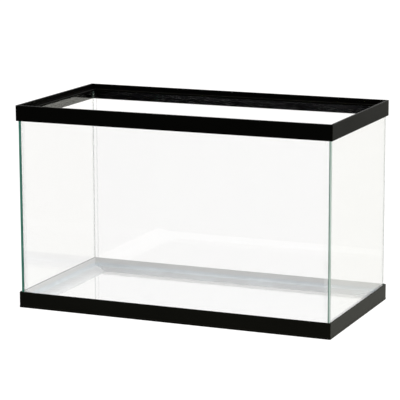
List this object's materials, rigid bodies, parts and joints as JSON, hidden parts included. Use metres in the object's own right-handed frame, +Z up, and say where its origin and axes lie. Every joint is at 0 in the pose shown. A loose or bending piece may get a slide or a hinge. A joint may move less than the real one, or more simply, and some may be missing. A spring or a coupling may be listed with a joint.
{
  "type": "glass aquarium tank",
  "caption": "Open-topped rectangular glass aquarium tank: glass walls and floor joined with silicone, with moulded black plastic frames around the top and bottom edges.",
  "frame": {"origin": "centre of the footprint, on the surface that the tank stands on (z = 0 is the lower edge of the bottom frame)", "axes": "+X along the length to the right as seen from the front, +Y from the front pane to the back pane, +Z up"},
  "size_m": [0.5144, 0.2666, 0.3191],
  "materials": {
    "wall_glass": "clear float glass with ground edges",
    "floor_glass": "clear float glass with ground edges",
    "frame_plastic": "satin black moulded polystyrene",
    "seal_silicone": "tooled translucent silicone, glossy",
    "bond_silicone": "translucent silicone pressed between glass edges",
    "bed_silicone": "black silicone pressed between glass and plastic"
  },
  "bodies": {
    "root": {"front_pane": "wall_glass", "back_pane": "wall_glass", "left_pane": "wall_glass", "right_pane": "wall_glass", "floor_pane": "floor_glass", "top_frame": "frame_plastic", "bottom_frame": "frame_plastic", "top_frame_bed": "bed_silicone", "bottom_frame_bed": "bed_silicone", "edge_bond_front_left": "bond_silicone", "edge_bond_front_right": "bond_silicone", "edge_bond_back_left": "bond_silicone", "edge_bond_back_right": "bond_silicone", "floor_bond": "bond_silicone", "corner_seal_front_left": "seal_silicone", "corner_seal_front_right": "seal_silicone", "corner_seal_back_left": "seal_silicone", "corner_seal_back_right": "seal_silicone", "floor_seal_front": "seal_silicone", "floor_seal_back": "seal_silicone", "floor_seal_left": "seal_silicone", "floor_seal_right": "seal_silicone"}
  },
  "joints": []
}
